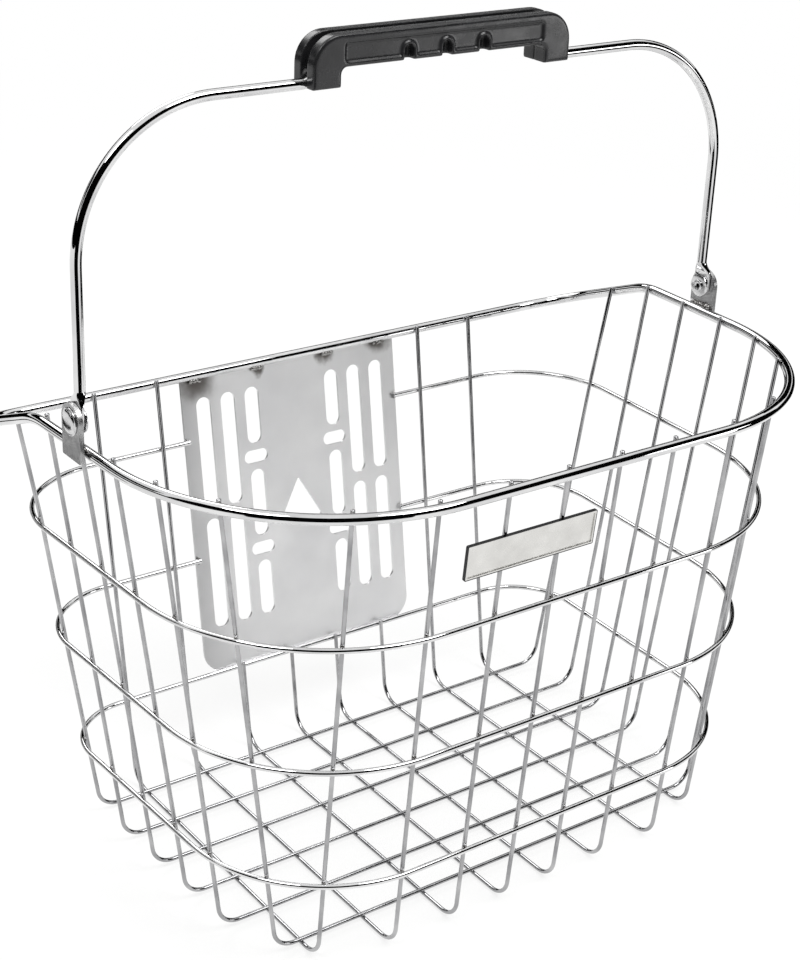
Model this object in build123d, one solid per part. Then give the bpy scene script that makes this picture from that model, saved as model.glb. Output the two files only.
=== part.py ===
from build123d import *
import math
import os

# Handlebar basket of stainless wire with a folding carry bail.
# Millimetres, +Z up. -Y faces forward, +Y is the side that bolts to the handlebar bracket.
# Left and right are as seen from the front, so the right-hand pivot lies on +X.
# Heights count from the underside of the lowest floor wire.

# Wire and sheet sizes
rimR = 2.4
ringR = 1.25
wireR = 1.0
bailR = 2.4
weldSink = 0.15          # how far two crossing wires melt into each other
seamSink = 0.03          # the same where a wire lies along the sheet
plateThick = 1.2
bracketThick = 2.0

# Wall of the basket: the centres of the upright wires, at the floor and at rim height
rimHeight = 228.0
halfWidthFloor = 138.5
halfWidthRim = 170.7
frontFloor = 104.5
frontRim = 125.3
backFloor = 73.2
backRim = 109.9
frontCornerFloor = 62.1
frontCornerRim = 99.9
backCornerFloor = 25.7
backCornerRim = 55.3
sideTaper = 0.0365       # the sides come closer together towards the front
ringHeights = {"ring_lower": 43.5, "ring_middle": 105.0, "ring_upper": 166.5}

# The rim runs level round the front and sides, then drops to the low back
dipStart = 36.0
dipSlope = 0.40
dipBendR = 45.0
rimBackCornerR = 30.0

# Floor grid and legs
floorBendR = 11.0
legBendR = 250.0         # the slight set of a leg at each ring it is welded to
leastTurn = 0.05         # degrees; smaller turns stay straight
frontBackX = (14.0, 43.5, 77.5, 111.0)
crossY = (60.0, 31.0, 3.5, -24.5, -52.5, -80.0)
frontFlare = 0.033       # how much further apart the legs stand at the rim
backFlare = 0.011
tipRise = 2.4            # wire tips end level with the top of the rim
ringTipRise = 2.2        # short back legs end just above the lower ring

# Mounting plate
plateHalfWidth = 64.0
plateFoot = 43.0
plateCornerR = 12.0
ringLap = 2.0            # how far the open rings lap onto the plate
slotWidth = 8.2
slotPitch = 14.0
slotInnerX = 24.0
slotFootMargin = 24.0
slotRun = 122.0
outerLigament = 5.0
innerLigament = 3.5
endSlotLength = 29.5
pillLength = 13.8
pillHeight = 6.8
windowApex = 93.5
windowHeight = 23.4
windowHalfBase = 13.3
windowCornerR = 0.8

# Nameplate, left blank
nameWidth = 68.5
nameHeight = 16.4
nameThick = 1.0
nameX = -31.0
nameZ = 198.3
nameFrame = 1.1
nameFrameRise = 0.5
nameCornerR = 0.6

# Pivot brackets
pivotY = -4.0
pivotRise = 13.0         # above the middle of the rim wire
pivotZ = rimHeight + pivotRise
bracketWidth = 16.0
bracketFootDrop = 3.7
bracketFootZ = rimHeight - bracketFootDrop
bracketFootCorner = 1.0

# Weld beads
bracketBeadR = 1.7
bracketBeadLength = 11.0
bracketBeadIn = 0.7      # bead centre from the bracket's face
bracketBeadDown = 0.5    # bead centre below the top of the rim
plateBeadR = 1.4
plateBeadX = (-56.0, -20.0, 22.0, 54.0)

# Rivets and washers
rivetR = 2.0
runClear = 0.05
pressClear = 0.02
sideGap = 0.2
headR = 6.2
headHeight = 2.0
washerR = 5.75
washerThick = 1.0
eyeletR = 2.9
eyeletHeight = 1.0
eyeletBoreR = 1.2
headRound = 1.6
eyeletRound = 0.45
washerRound = 0.25

# Bail, its heights all taken from the pivot
bailBarZ = pivotZ + 126.9
bailCornerR = 62.7
paddleR = 5.0
paddleThick = 2.0
paddleInset = 1.57       # leg's middle, inwards of the flattened end's middle
paddleReach = 6.6        # flat part, above the pivot
taperReach = 12.5        # where the wire is round again
paddleEdgeR = 0.9

# Grip
gripHalfLength = 68.1
gripTopZ = pivotZ + 147.4
gripFootZ = pivotZ + 125.3
gripBarZ = pivotZ + 133.6
gripDepth = 16.0
gripFootWidth = 13.9
gripCornerR = 13.0
gripEdgeR = 1.2
gripInnerR = 3.0
grooveWidth = 4.6
grooveDepth = 4.0
stepX = 66.0
stepRun = 12.0
stepBendR = 7.0
gripWireZ = pivotZ + 139.2
channelClear = 0.05
panelHalf = 52.5
panelFoot = 2.1
panelHeight = 8.0
panelDepth = 1.0
panelCornerR = 1.5
notchPitch = 20.0
notchWidth = 5.2
notchHeight = 6.9
notchDepth = 4.6
notchLip = 1.1
pinX = 38.0
pinR = 1.4
pinLength = 4.0
pinSeatSpare = 0.3

ringGap = wireR + ringR - weldSink
rimGap = wireR + rimR - weldSink
backLean = (backRim - backFloor) / rimHeight
frontLean = (frontRim - frontFloor) / rimHeight


def atHeight(low, high, z):
    return low + (high - low) * z / rimHeight


def wallAt(z, grow=0.0):
    # Plan outline of the wall at height z, pushed outwards by grow.
    slant = math.hypot(1.0, sideTaper)
    half = atHeight(halfWidthFloor, halfWidthRim, z) + grow * slant
    front = atHeight(frontFloor, frontRim, z) + grow
    back = atHeight(backFloor, backRim, z) + grow
    frontR = atHeight(frontCornerFloor, frontCornerRim, z) + grow
    backR = atHeight(backCornerFloor, backCornerRim, z) + grow
    return {"half": half, "front": front, "back": back, "frontR": frontR, "backR": backR}


def cornerCentre(wall, end):
    # Centre of a corner arc, tangent to the side line and to the front or back line.
    slant = math.hypot(1.0, sideTaper)
    y = -wall["front"] + wall["frontR"] if end == "front" else wall["back"] - wall["backR"]
    radius = wall[end + "R"]
    return wall["half"] + sideTaper * y - radius * slant, y, radius


def sideX(y, z):
    wall = wallAt(z)
    for end, sign in (("front", -1), ("back", 1)):
        x, centreY, radius = cornerCentre(wall, end)
        tangentY = centreY - radius * sideTaper / math.hypot(1.0, sideTaper)
        if (y - tangentY) * sign > 0:
            return x + math.sqrt(radius ** 2 - (y - centreY) ** 2)
    return wall["half"] + sideTaper * y


def endY(x, z, end):
    wall = wallAt(z)
    sign = -1 if end == "front" else 1
    centreX, centreY, radius = cornerCentre(wall, end)
    if abs(x) > centreX:
        return centreY + sign * math.sqrt(radius ** 2 - (abs(x) - centreX) ** 2)
    return sign * wall[end]


# The low back run of the rim lies where the dipped plane meets the leaning back wall.
rimBackY = (backFloor + backLean * (rimHeight + dipSlope * dipStart) + rimGap) / (1 + backLean * dipSlope)


def rimZ(y):
    return rimHeight - dipSlope * max(0.0, y - dipStart)


# The finished part is centred front to back on its own outline.
rimFrontY = -(wallAt(rimHeight, rimGap)["front"])
shiftY = -(rimFrontY - rimR + rimBackY + rimR) / 2


def roundedPath(points, radii, closed=False):
    # Straight runs joined by tangent arcs, one radius for each corner.
    count = len(points)
    spots = [Vector(*p) for p in points]
    edges = []
    arcs = []
    for i in range(count) if closed else range(1, count - 1):
        before = (spots[i - 1] - spots[i]).normalized()
        after = (spots[(i + 1) % count] - spots[i]).normalized()
        if 180 - before.get_angle(after) < leastTurn:
            continue
        half = math.acos(before.dot(after)) / 2
        setback = radii[i] / math.tan(half)
        middle = (before + after).normalized() * (radii[i] / math.sin(half) - radii[i])
        arcs.append((spots[i] + before * setback, spots[i] + middle, spots[i] + after * setback))
    last = arcs[-1][2] if closed else spots[0]
    for start, middle, end in arcs:
        edges.append(Line(last, start).edge())
        edges.append(ThreePointArc(start, middle, end).edge())
        last = end
    if not closed:
        edges.append(Line(last, spots[-1]).edge())
    return Wire(edges)


def wireAlong(path, radius):
    section = Plane(origin=path @ 0, z_dir=path % 0) * Circle(radius)
    return sweep(section, path=path)


def mirrored(shape):
    return shape + mirror(shape, about=Plane.YZ)


def reach(low, high, z):
    # The point at height z on the line through two points.
    share = (z - low[2]) / (high[2] - low[2])
    return tuple(a + (b - a) * share for a, b in zip(low, high))


def legThrough(contacts, floorZ, tipZ):
    # A leg from the floor up, past each ring it is welded to, to its cut tip.
    passed = [spot for spot in contacts if spot[2] < tipZ]
    last = max(len(passed) - 1, 1)
    floor = reach(contacts[0], contacts[1], floorZ)
    tip = reach(contacts[last - 1], contacts[last], tipZ)
    return [floor] + passed + [tip]


def wireThrough(leftLeg, rightLeg):
    # One wire of the grid: down one leg, across the floor and up the other.
    points = leftLeg[::-1] + rightLeg
    radii = [legBendR] * len(points)
    radii[len(leftLeg) - 1] = floorBendR
    radii[len(leftLeg)] = floorBendR
    return wireAlong(roundedPath(points, radii), wireR)


def makeRim():
    wall = wallAt(rimHeight, rimGap)

    def rimX(y):
        return wall["half"] + sideTaper * y

    right = [
        (rimX(-wall["front"]), -wall["front"], rimHeight),
        (rimX(dipStart), dipStart, rimHeight),
        (rimX(rimBackY), rimBackY, rimZ(rimBackY)),
    ]
    left = [(-x, y, z) for x, y, z in reversed(right)]
    radii = [wall["frontR"], dipBendR, rimBackCornerR]
    return wireAlong(roundedPath(right + left, radii + radii[::-1], closed=True), rimR)


def makeRing(z, closed):
    wall = wallAt(z, ringGap)
    frontX = wall["half"] - sideTaper * wall["front"]
    backX = wall["half"] + sideTaper * wall["back"]
    right = [(frontX, -wall["front"], z), (backX, wall["back"], z)]
    left = [(-x, y, h) for x, y, h in reversed(right)]
    radii = [wall["frontR"], wall["backR"]]
    if closed:
        return wireAlong(roundedPath(right + left, radii + radii[::-1], closed=True), ringR)
    lapX = plateHalfWidth - ringLap
    start = (-lapX, wall["back"], z)
    end = (lapX, wall["back"], z)
    order = [start] + left[:1] + left[1:] + right[:1] + right[1:] + [end]
    sizes = [0, wall["backR"], wall["frontR"], wall["frontR"], wall["backR"], 0]
    return wireAlong(roundedPath(order, sizes), ringR)


def makeCrossWire(y):
    # Behind the dip the rim keeps to its straight side line.
    wall = wallAt(rimHeight)
    rimX = sideX(y, rimHeight) if y <= dipStart else wall["half"] + sideTaper * y
    contacts = [(sideX(y, z), y, z) for z in ringHeights.values()]
    contacts.append((rimX, y, rimZ(y)))
    leg = legThrough(contacts, 3 * wireR - weldSink, rimZ(y) + tipRise)
    return wireThrough([(-x, y, z) for x, y, z in leg], leg)


def makeFrontBackWire(x):
    # Full back legs only where they clear the mounting plate.
    backTopZ = rimZ(rimBackY)
    front = [(x * (1 + frontFlare * z / rimHeight), z) for z in list(ringHeights.values()) + [rimHeight]]
    front = [(spotX, endY(spotX, z, "front"), z) for spotX, z in front]
    back = [(x * (1 + backFlare * z / backTopZ), z) for z in ringHeights.values()]
    back = [(spotX, endY(spotX, z, "back"), z) for spotX, z in back]
    back.append((x * (1 + backFlare), rimBackY - rimGap, backTopZ))
    shortBack = abs(x) < plateHalfWidth
    backTip = ringHeights["ring_lower"] + ringTipRise if shortBack else backTopZ + tipRise
    frontLeg = legThrough(front, wireR, rimHeight + tipRise)
    return wireThrough(frontLeg, legThrough(back, wireR, backTip))


# Mounting plate: local X across, local Y up the leaning sheet, from its lower edge.
plateTopZ = rimZ(rimBackY) - rimR + 0.1
plateInnerY = backFloor + ringGap + ringR * math.hypot(1.0, backLean) - seamSink
plateLength = (plateTopZ - plateFoot) * math.hypot(1.0, backLean)
platePlane = Plane(
    origin=(0, plateInnerY + backLean * plateFoot, plateFoot),
    x_dir=(-1, 0, 0),
    z_dir=(0, 1, -backLean),
)


def uprightSlot(x, low, high):
    return Pos(x, (low + high) / 2) * SlotOverall(high - low, slotWidth, rotation=90)


def makePlate():
    sheet = RectangleRounded(2 * plateHalfWidth, 2 * plateLength, plateCornerR)
    sheet = Pos(0, plateLength) * sheet
    sheet = sheet & (Pos(0, plateLength / 2) * Rectangle(4 * plateHalfWidth, plateLength))
    middle = slotFootMargin + slotRun / 2
    top = slotFootMargin + slotRun
    innerRun = slotRun - 2 * endSlotLength - 2 * pillHeight - 4 * innerLigament
    for side in (-1, 1):
        for column in (1, 2):
            x = side * (slotInnerX + column * slotPitch)
            sheet -= uprightSlot(x, slotFootMargin, middle - outerLigament / 2)
            sheet -= uprightSlot(x, middle + outerLigament / 2, top)
        x = side * slotInnerX
        sheet -= uprightSlot(x, slotFootMargin, slotFootMargin + endSlotLength)
        sheet -= uprightSlot(x, top - endSlotLength, top)
        sheet -= uprightSlot(x, middle - innerRun / 2, middle + innerRun / 2)
        away = innerRun / 2 + innerLigament + pillHeight / 2
        for way in (-1, 1):
            sheet -= Pos(x, middle + way * away) * SlotOverall(pillLength, pillHeight)
    base = windowApex - windowHeight
    window = Polyline(
        (-windowHalfBase, base), (windowHalfBase, base), (0, windowApex), close=True
    )
    window = make_face(window)
    window = fillet(window.vertices(), windowCornerR)
    sheet -= window
    return platePlane * extrude(sheet, plateThick)


def makeNameplate():
    # A blank plate with a thin raised frame, welded to two front wires.
    face = -(frontFloor + frontLean * nameZ + wireR - weldSink / 2)
    plane = Plane(origin=(nameX, face, nameZ), x_dir=(1, 0, 0), z_dir=(0, -1, -frontLean))
    sheet = extrude(plane * RectangleRounded(nameWidth, nameHeight, nameCornerR), nameThick + nameFrameRise)
    inner = Rectangle(nameWidth - 2 * nameFrame, nameHeight - 2 * nameFrame)
    raised = Plane(origin=plane.origin + plane.z_dir * nameThick, x_dir=plane.x_dir, z_dir=plane.z_dir)
    return sheet - extrude(raised * inner, nameFrameRise)


# Stations along X at the right-hand pivot, from the bracket inwards. The rim runs slightly
# askew past the flat bracket, so the two meet at the bracket's rear edge.
bracketRearY = pivotY + bracketWidth / 2
bracketInX = wallAt(rimHeight, rimGap)["half"] + sideTaper * bracketRearY + rimR - seamSink
bracketOutX = bracketInX + bracketThick
paddleOutX = bracketInX - sideGap
paddleInX = paddleOutX - paddleThick
washerOutX = paddleInX - sideGap
washerInX = washerOutX - washerThick
bailLegX = (paddleInX + paddleOutX) / 2 - paddleInset


def discAlongX(x0, x1, radius):
    # A disc on the pivot axis between two stations.
    return extrude(Plane(origin=(x0, pivotY, pivotZ), z_dir=(x1 - x0, 0, 0)) * Circle(radius), abs(x1 - x0))


def makeBracket():
    # Flat ear: parallel sides, square foot below the rim, round top about the rivet.
    sketch = Plane(origin=(bracketInX, 0, 0), x_dir=(0, 1, 0), z_dir=(1, 0, 0))
    half = bracketWidth / 2
    height = pivotZ - bracketFootZ
    foot = Pos(pivotY, bracketFootZ + height / 2) * Rectangle(2 * half, height)
    foot = fillet(foot.vertices().sort_by(Axis.Y)[:2], bracketFootCorner)
    ear = extrude(sketch * (foot + Pos(pivotY, pivotZ) * Circle(half)), bracketThick)
    return ear - discAlongX(bracketInX - 1, bracketOutX + 1, rivetR + pressClear)


def makeRivet():
    # Low domed head outside, tubular end rolled over the inner washer.
    head = discAlongX(bracketOutX, bracketOutX + headHeight, headR)
    head = fillet(head.edges().filter_by(GeomType.CIRCLE).sort_by(Axis.X)[-1], headRound)
    shank = discAlongX(bracketOutX, washerInX, rivetR)
    eyelet = discAlongX(washerInX, washerInX - eyeletHeight, eyeletR)
    eyelet = fillet(eyelet.edges().filter_by(GeomType.CIRCLE).sort_by(Axis.X)[0], eyeletRound)
    bore = discAlongX(washerInX - eyeletHeight - 1, paddleOutX, eyeletBoreR)
    return head + shank + eyelet - bore


def makeWasher():
    disc = discAlongX(washerOutX, washerInX, washerR)
    disc = fillet(disc.edges().filter_by(GeomType.CIRCLE), washerRound)
    return disc - discAlongX(washerOutX + 1, washerInX - 1, rivetR + pressClear)


def makeBracketWeld(rim, bracket):
    # Bead laid in the corner between the top of the rim and the inside of the bracket.
    startY = pivotY - bracketBeadLength / 2
    cornerX = bracketInX - bracketBeadIn
    cornerZ = rimHeight + rimR - bracketBeadDown
    corner = Plane(origin=(cornerX, startY, cornerZ), z_dir=(0, 1, 0))
    bead = extrude(corner * Circle(bracketBeadR), bracketBeadLength)
    bead = fillet(bead.edges().filter_by(GeomType.CIRCLE), bracketBeadR * 0.7)
    return bead - rim - bracket


def makePlateWelds(rim, plate):
    # Short beads on the inner side, where the plate's upper edge meets the rim.
    topInnerY = plateInnerY + backLean * plateTopZ
    bead = Pos(0, topInnerY - plateBeadR / 2, plateTopZ) * Sphere(plateBeadR)
    beads = [Pos(x, 0, 0) * bead - rim - plate for x in plateBeadX]
    return [cut.solids().sort_by(SortBy.VOLUME)[-1] for cut in beads]


def bailPath():
    low = (bailLegX, pivotY, pivotZ + taperReach)
    right = [
        low,
        (bailLegX, pivotY, bailBarZ),
        (stepX, pivotY, bailBarZ),
        (stepX - stepRun, pivotY, gripWireZ),
    ]
    left = [(-x, y, z) for x, y, z in reversed(right)]
    radii = [0, bailCornerR, stepBendR, stepBendR]
    return roundedPath(right + left, radii + radii[::-1])


def makePaddle():
    # Flattened wire end: a flat with a round tip and the rivet hole, blended to the round wire.
    middleX = (paddleInX + paddleOutX) / 2
    flatTop = pivotZ + paddleReach
    tip = discAlongX(paddleInX, paddleOutX, paddleR)
    flat = Pos(middleX, pivotY, pivotZ + paddleReach / 2) * Box(paddleThick, 2 * paddleR, paddleReach)
    lowPlane = Plane(origin=(middleX, pivotY, flatTop))
    topPlane = Plane(origin=(bailLegX, pivotY, pivotZ + taperReach))
    lowFace = lowPlane * RectangleRounded(paddleThick, 2 * paddleR, paddleEdgeR)
    blend = loft([lowFace, topPlane * Circle(bailR)])
    hole = discAlongX(paddleInX - 1, paddleOutX + 1, rivetR + runClear)
    return tip + flat + blend - hole


def makeBail():
    return wireAlong(bailPath(), bailR) + mirrored(makePaddle())


def gripOutline(inset):
    # Bar with two feet, seen from the front. Inset draws the web inside the end groove.
    half = gripHalfLength - inset
    inner = gripHalfLength - gripFootWidth
    top = gripTopZ - inset
    outline = Polyline(
        (-half, gripFootZ),
        (-half, top),
        (half, top),
        (half, gripFootZ),
        (inner, gripFootZ),
        (inner, gripBarZ),
        (-inner, gripBarZ),
        (-inner, gripFootZ),
        close=True,
    )
    outline = make_face(outline)
    tops = outline.vertices().sort_by(Axis.Y)[-2:]
    outline = fillet(tops, gripCornerR - inset)
    inside = [v for v in outline.vertices() if abs(v.Y - gripBarZ) < 0.01]
    return fillet(inside, gripInnerR)


def gripSlab(inset, y0, y1):
    plane = Plane(origin=(0, pivotY + y0, 0), x_dir=(1, 0, 0), z_dir=(0, -1, 0))
    return extrude(plane * gripOutline(inset), y0 - y1)


def notchShape(grow, y0, y1):
    # Arched notch open at the underside of the bar.
    width = notchWidth + 2 * grow
    straight = notchHeight - notchWidth / 2
    plane = Plane(origin=(0, pivotY + y0, 0), x_dir=(1, 0, 0), z_dir=(0, -1, 0))
    arch = Pos(0, gripBarZ + straight) * Circle(width / 2)
    arch += Pos(0, gripBarZ + straight / 2 - 1) * Rectangle(width, straight + 2)
    solid = extrude(plane * arch, y0 - y1)
    return [Pos(n * notchPitch, 0, 0) * solid for n in (-1, 0, 1)]


def makeGripHalf():
    # Front half of the grip, drawn from the parting plane outwards.
    depth = gripDepth / 2
    body = gripSlab(0, 0, -depth)
    outer = body.faces().sort_by(Axis.Y)[0]
    body = fillet(outer.edges(), gripEdgeR)
    groove = gripSlab(0, 0, -grooveWidth / 2) - gripSlab(grooveDepth, 0, -grooveWidth / 2)
    body -= groove
    middleZ = gripBarZ + panelFoot + panelHeight / 2
    panel = Pos(0, pivotY - depth + panelDepth / 2, middleZ) * Box(2 * panelHalf, panelDepth, panelHeight)
    panel = fillet(panel.edges().filter_by(Axis.Y), panelCornerR)
    for lip in notchShape(notchLip, -depth + panelDepth, -depth):
        panel -= lip
    body -= panel
    for notch in notchShape(0, -depth + notchDepth, -depth):
        body -= notch
    return body


def makeGripHalves():
    channel = wireAlong(bailPath(), bailR + channelClear)
    half = makeGripHalf()
    front = half - channel
    rear = mirror(half, about=Plane(origin=(0, pivotY, 0), z_dir=(0, 1, 0))) - channel
    pinZ = (gripBarZ + gripWireZ - bailR) / 2
    for side in (-1, 1):
        seat = Plane(origin=(side * pinX, pivotY, pinZ), z_dir=(0, 1, 0))
        front += extrude(seat * Circle(pinR), pinLength)
        rear -= extrude(seat * Circle(pinR + pressClear), pinLength + pinSeatSpare)
    return front, rear


def makeParts():
    rim = makeRim()
    plate = makePlate()
    bracket = makeBracket()
    parts = {"rim": rim, "mount_plate": plate, "nameplate": makeNameplate()}
    for name, z in ringHeights.items():
        parts[name] = makeRing(z, closed=(name == "ring_lower"))
    columns = [-x for x in reversed(frontBackX)] + list(frontBackX)
    for index, x in enumerate(columns, start=1):
        parts["front_back_wire_%d" % index] = makeFrontBackWire(x)
    for index, y in enumerate(crossY, start=1):
        parts["cross_wire_%d" % index] = makeCrossWire(y)
    parts["bracket_right"] = bracket
    parts["bracket_left"] = mirror(bracket, about=Plane.YZ)
    parts["pivot_rivets"] = mirrored(makeRivet())
    parts["pivot_washers"] = mirrored(makeWasher())
    parts["bracket_welds"] = mirrored(makeBracketWeld(rim, bracket))
    parts["plate_welds"] = Compound(children=makePlateWelds(rim, plate))
    parts["bail_wire"] = makeBail()
    front, rear = makeGripHalves()
    parts["grip_front_half"] = front
    parts["grip_rear_half"] = rear
    return parts


os.makedirs("parts", exist_ok=True)
for name, shape in makeParts().items():
    export_step(Pos(0, shiftY, 0) * shape, os.path.join("parts", name + ".step"))
    box = shape.bounding_box()
    print("%-20s solids %d  x %.1f..%.1f  y %.1f..%.1f  z %.1f..%.1f" % (
        name, len(shape.solids()), box.min.X, box.max.X,
        box.min.Y + shiftY, box.max.Y + shiftY, box.min.Z, box.max.Z,
    ))
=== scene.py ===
import math
import bpy
import bmesh
from mathutils import Matrix, Vector


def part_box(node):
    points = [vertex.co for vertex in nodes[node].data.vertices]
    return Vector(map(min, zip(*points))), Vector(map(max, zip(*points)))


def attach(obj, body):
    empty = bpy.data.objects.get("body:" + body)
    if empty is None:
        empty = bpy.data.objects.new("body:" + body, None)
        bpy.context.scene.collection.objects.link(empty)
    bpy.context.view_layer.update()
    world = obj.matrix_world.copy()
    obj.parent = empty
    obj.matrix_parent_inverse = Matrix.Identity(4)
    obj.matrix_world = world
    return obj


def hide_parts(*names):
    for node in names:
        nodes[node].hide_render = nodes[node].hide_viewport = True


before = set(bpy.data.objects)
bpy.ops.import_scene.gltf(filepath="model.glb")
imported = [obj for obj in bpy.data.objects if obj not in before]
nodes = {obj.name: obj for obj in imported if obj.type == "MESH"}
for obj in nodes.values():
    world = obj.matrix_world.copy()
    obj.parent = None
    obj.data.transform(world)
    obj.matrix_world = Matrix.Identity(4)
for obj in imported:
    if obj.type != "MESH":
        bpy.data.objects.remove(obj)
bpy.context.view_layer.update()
mm = 0.001

# The wire grid's driving sizes in millimetres, measured in the basket's own plan.
grid = {
    "rimR": 2.4, "ringR": 1.25, "wireR": 1.0, "sink": 0.15,
    "rimHeight": 228.0, "ringHeights": (43.5, 105.0, 166.5),
    "half": (138.5, 170.7), "front": (104.5, 125.3), "back": (73.2, 109.9),
    "frontR": (62.1, 99.9), "backR": (25.7, 55.3), "sideTaper": 0.0365,
    "dipStart": 36.0, "dipSlope": 0.40, "dipBendR": 45.0, "rimBackR": 30.0,
    "floorBendR": 11.0, "legBendR": 250.0,
    "frontBackX": (-111.0, -77.5, -43.5, -14.0, 14.0, 43.5, 77.5, 111.0),
    "crossY": (60.0, 31.0, 3.5, -24.5, -52.5, -80.0),
    "frontFlare": 0.033, "backFlare": 0.011, "tipRise": 2.4, "ringTipRise": 2.2,
    "plateHalf": 64.0, "ringLap": 2.0,
    "rimSides": 32, "ringSides": 20, "wireSides": 18,
}
bail = {
    "wireR": 2.4, "legX": 173.7, "barZ": 367.9, "cornerR": 62.7,
    "stepX": 66.0, "stepRun": 12.0, "stepBendR": 7.0, "gripWireZ": 380.2,
    "pivotY": -4.0, "pivotZ": 241.0, "taperTop": 12.5, "flatTop": 6.6,
    "paddleR": 5.0, "paddleHalfThick": 1.0, "paddleX": 175.27, "holeR": 2.05,
    "wireSides": 32, "drillSides": 40, "drillDepth": 8.0, "sharpDegrees": 40.0,
}

ringGap = grid["wireR"] + grid["ringR"] - grid["sink"]
rimGap = grid["wireR"] + grid["rimR"] - grid["sink"]
backLean = (grid["back"][1] - grid["back"][0]) / grid["rimHeight"]
rimBackY = (
    grid["back"][0] + backLean * (grid["rimHeight"] + grid["dipSlope"] * grid["dipStart"]) + rimGap
) / (1 + backLean * grid["dipSlope"])
# The basket is centred front to back on its rim.
shiftY = (grid["front"][1] + rimGap - rimBackY) / 2


def toLinear(hexColour):
    # sRGB hex to linear RGBA
    channels = [int(hexColour[i:i + 2], 16) / 255 for i in (1, 3, 5)]
    linear = [c / 12.92 if c <= 0.04045 else ((c + 0.055) / 1.055) ** 2.4 for c in channels]
    return (*linear, 1.0)


def addNode(tree, kind, feeds=None, **settings):
    # feeds maps an input to a value or to the socket that drives it
    node = tree.nodes.new(kind)
    for name, value in settings.items():
        setattr(node, name, value)
    for name, value in (feeds or {}).items():
        if isinstance(value, bpy.types.NodeSocket):
            tree.links.new(value, node.inputs[name])
        else:
            node.inputs[name].default_value = value
    return node


def place(point):
    # millimetres in the basket's plan to metres in the frame
    return Vector((point[0] * mm, (point[1] + shiftY) * mm, point[2] * mm))


def addObject(name, mesh):
    made = bpy.data.objects.new(name, mesh)
    bpy.context.scene.collection.objects.link(made)
    return made


def finishPiece(piece, body, slot, *replaced):
    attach(piece, body)
    if replaced:
        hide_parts(*replaced)


view = {
    "azimuth": -36.66, "elevation": 24.38, "roll": 2.38,
    "lens": 71.68, "sensor": 36.0, "spot": (-0.4975, -0.6487, 0.5454),
}


def makeCamera():
    azimuth, elevation, roll = (math.radians(view[key]) for key in ("azimuth", "elevation", "roll"))
    level = math.cos(elevation)
    back = Vector((math.sin(azimuth) * level, -math.cos(azimuth) * level, math.sin(elevation)))
    right = Vector((0, 0, 1)).cross(back).normalized()
    up = back.cross(right)
    turnedRight = right * math.cos(roll) + up * math.sin(roll)
    turnedUp = up * math.cos(roll) - right * math.sin(roll)
    data = bpy.data.cameras.new("camera")
    data.sensor_fit = "VERTICAL"
    data.sensor_height = view["sensor"]
    data.lens = view["lens"]
    camera = addObject("camera", data)
    turn = Matrix((turnedRight, turnedUp, back)).transposed().to_4x4()
    camera.matrix_world = Matrix.Translation(view["spot"]) @ turn
    bpy.context.scene.camera = camera


studio = {
    "ambient": 0.62,                  # what the surroundings give to matt surfaces
    "lamps": (                        # place, size in metres, watts
        ((0.7, -1.2, 2.3), 1.3, 30.0),
        ((-1.3, -0.4, 2.1), 0.9, 14.0),
        ((0.2, 1.8, 1.8), 1.2, 13.0),
        ((0.93, -0.84, 0.24), 0.45, 2.0),
    ),
    "lampAim": (0.0, 0.0, 0.2),
    "floorRadius": 7.0, "floorHole": 0.001, "floorDrop": 0.0003,
    "floorColour": "#F4F4F3",
    "floorLift": 0.74,                # how white the paper reads by the basket
    "floorFade": (0.5, 1.7),          # between these distances it turns fully white
    "cardColour": "#050505",
    # dark cards: lower radius and height, upper radius and height, first and last bearing
    "cards": {
        "card_horizon": ((3.0, -0.02), (3.0, 0.75), 0, 360),
        "card_front": ((2.3, 0.30), (2.0, 2.5), 168, 352),
        "card_back": ((2.4, 0.85), (2.3, 1.7), 8, 160),
        "card_right": ((0.62, 0.0), (0.66, 0.27), 316, 410),
        "card_left": ((0.62, 0.0), (0.66, 0.27), 205, 268),
        "card_rear": ((0.52, 0.0), (0.52, 0.07), 95, 152),
    },
}


def makeWorld():
    world = bpy.data.worlds.new("studio")
    bpy.context.scene.world = world
    world.use_nodes = True
    tree = world.node_tree
    tree.nodes.clear()
    rays = addNode(tree, "ShaderNodeLightPath")
    seen = addNode(tree, "ShaderNodeMath", {
        0: rays.outputs["Is Camera Ray"], 1: rays.outputs["Is Glossy Ray"],
    }, operation="ADD")
    seen = addNode(tree, "ShaderNodeMath", {
        0: seen.outputs[0], 1: rays.outputs["Is Transmission Ray"],
    }, operation="ADD", use_clamp=True)
    soft = addNode(tree, "ShaderNodeBackground", {"Color": (1, 1, 1, 1), "Strength": studio["ambient"]})
    white = addNode(tree, "ShaderNodeBackground", {"Color": (1, 1, 1, 1), "Strength": 1.0})
    mix = addNode(tree, "ShaderNodeMixShader", {
        0: seen.outputs[0], 1: soft.outputs[0], 2: white.outputs[0],
    })
    addNode(tree, "ShaderNodeOutputWorld", {"Surface": mix.outputs[0]})


def makeLamps():
    for index, (spot, size, watts) in enumerate(studio["lamps"], start=1):
        data = bpy.data.lights.new("softbox_%d" % index, "AREA")
        data.shape = "DISK"
        data.size = size
        data.energy = watts
        lamp = addObject("softbox_%d" % index, data)
        aim = Vector(studio["lampAim"]) - Vector(spot)
        lamp.matrix_world = Matrix.Translation(spot) @ aim.to_track_quat("-Z", "Y").to_matrix().to_4x4()


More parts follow.
